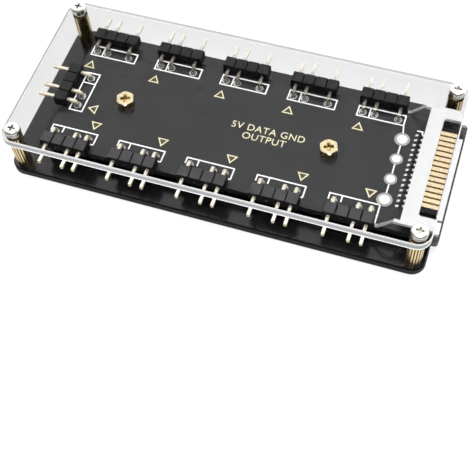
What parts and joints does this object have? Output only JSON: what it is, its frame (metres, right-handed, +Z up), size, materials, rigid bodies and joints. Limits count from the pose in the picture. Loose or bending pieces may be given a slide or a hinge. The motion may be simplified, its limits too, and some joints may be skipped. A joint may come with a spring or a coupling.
{
  "type": "argb fan hub",
  "caption": "Flat lighting hub: a black circuit board with right-angle pin headers and a drive power inlet, between a black base plate and a clear cover on brass posts.",
  "frame": {"origin": "centre of the base plate's underside", "axes": "+X towards the power inlet, +Y towards the rear header row, +Z up through the clear cover"},
  "size_m": [0.0913, 0.0404, 0.0133],
  "materials": {
    "black_acrylic": "polished",
    "clear_acrylic": "polished, clear",
    "post_brass": "straight knurled",
    "screw_nickel": "bright plated",
    "hex_brass": "bright",
    "board_black": "satin solder mask",
    "spacer_black": "matt",
    "header_black": "matt",
    "pin_gold": "gold plated",
    "solder_tin": "bright",
    "housing_white": "satin",
    "insert_black": "satin",
    "contact_gold": "gold plated",
    "strap_steel": "satin"
  },
  "bodies": {
    "root": {"base_plate": "black_acrylic", "top_cover": "clear_acrylic", "circuit_board": "board_black", "post_front_left": "post_brass", "post_rear_left": "post_brass", "post_front_right": "post_brass", "post_rear_right": "post_brass", "cover_screws": "screw_nickel", "base_screws": "screw_nickel", "board_spacers": "spacer_black", "board_screws": "hex_brass", "header_rear_1": "header_black", "pins_rear_1": "pin_gold", "header_rear_2": "header_black", "pins_rear_2": "pin_gold", "header_rear_3": "header_black", "pins_rear_3": "pin_gold", "header_rear_4": "header_black", "pins_rear_4": "pin_gold", "header_rear_5": "header_black", "pins_rear_5": "pin_gold", "header_front_1": "header_black", "pins_front_1": "pin_gold", "header_front_2": "header_black", "pins_front_2": "pin_gold", "header_front_3": "header_black", "pins_front_3": "pin_gold", "header_front_4": "header_black", "pins_front_4": "pin_gold", "header_front_5": "header_black", "pins_front_5": "pin_gold", "header_left": "header_black", "pins_left": "pin_gold", "solder_rear": "solder_tin", "solder_front": "solder_tin", "solder_left": "solder_tin", "power_pads": "solder_tin", "power_housing": "housing_white", "power_insert": "insert_black", "power_contacts": "contact_gold", "contact_solder": "solder_tin", "strap_front": "strap_steel", "strap_rear": "strap_steel"}
  },
  "joints": []
}
